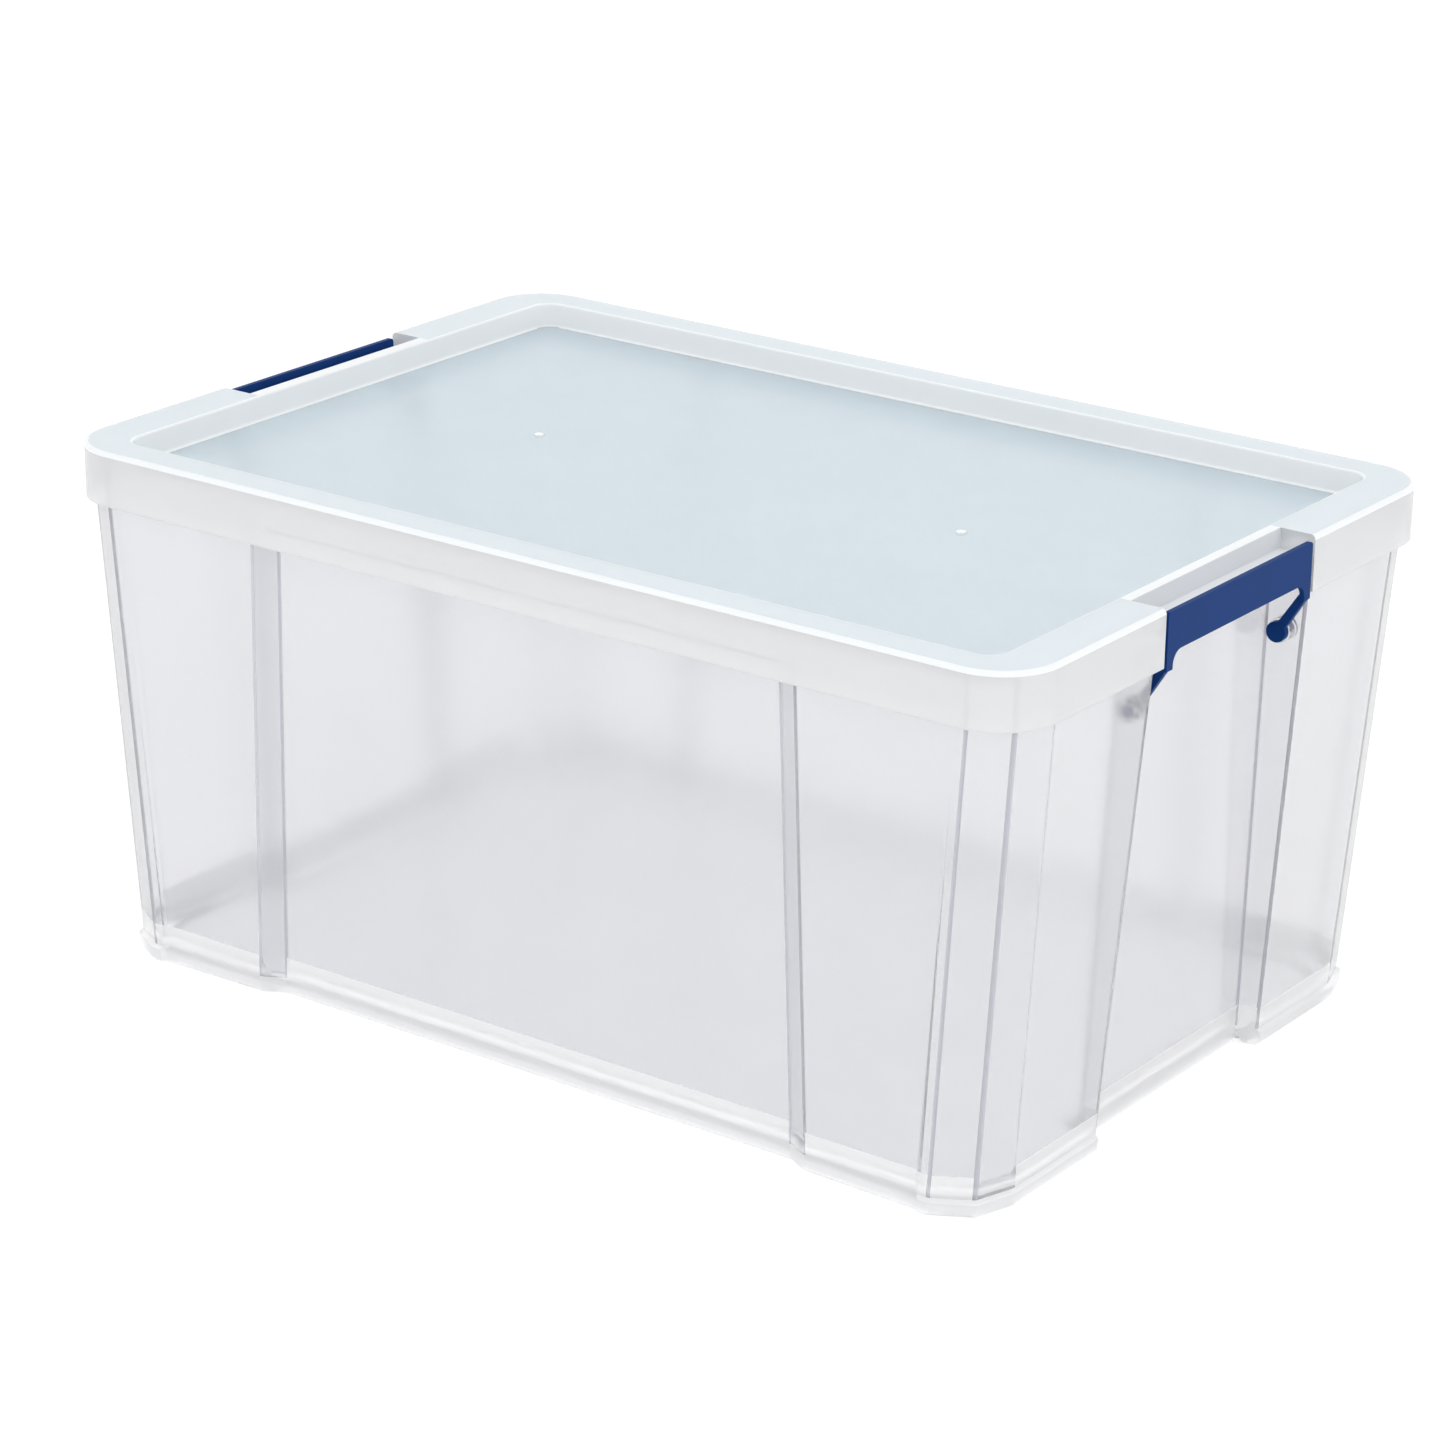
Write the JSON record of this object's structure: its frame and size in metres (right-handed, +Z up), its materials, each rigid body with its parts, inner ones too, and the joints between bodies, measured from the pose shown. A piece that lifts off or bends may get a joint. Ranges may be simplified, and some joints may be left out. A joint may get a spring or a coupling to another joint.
{
  "type": "storage box",
  "caption": "Deep rectangular storage box: tapered translucent tub, shallow-recessed lid with a deep skirt, and swing-over clip handles hinged in recesses in the short ends.",
  "frame": {"origin": "middle of the footprint, on the surface that the box stands on", "axes": "+Z up, X along the box between its two clip handles, Y across it"},
  "size_m": [0.66, 0.44, 0.316],
  "materials": {
    "tub_plastic": "natural translucent moulded polypropylene, satin gloss",
    "lid_plastic": "faintly blue translucent moulded polypropylene, satin gloss",
    "handle_plastic": "dark blue moulded polypropylene, gloss"
  },
  "bodies": {
    "tub": {"tub_floor": "tub_plastic", "tub_front": "tub_plastic", "tub_back": "tub_plastic", "tub_left_end": "tub_plastic", "tub_right_end": "tub_plastic"},
    "lid": {"lid": "lid_plastic"},
    "handle_left": {"handle_left": "handle_plastic"},
    "handle_right": {"handle_right": "handle_plastic"}
  },
  "joints": [
    {"name": "lid_lift", "type": "slide", "parent": "tub", "child": "lid", "axis": [0, 0, 1], "range_m": [0, 0.12]},
    {"name": "handle_left_swing", "type": "hinge", "parent": "tub", "child": "handle_left", "pos_m": [-0.312, 0, 0.2575], "axis": [0, -1, 0], "range_deg": [0, 130]},
    {"name": "handle_right_swing", "type": "hinge", "parent": "tub", "child": "handle_right", "pos_m": [0.312, 0, 0.2575], "axis": [0, 1, 0], "range_deg": [0, 130]}
  ],
  "couplings": [
    {"joint": "handle_left_swing", "follows": "lid_lift", "rad_per_m": 18.9},
    {"joint": "handle_right_swing", "follows": "lid_lift", "rad_per_m": 18.9}
  ]
}
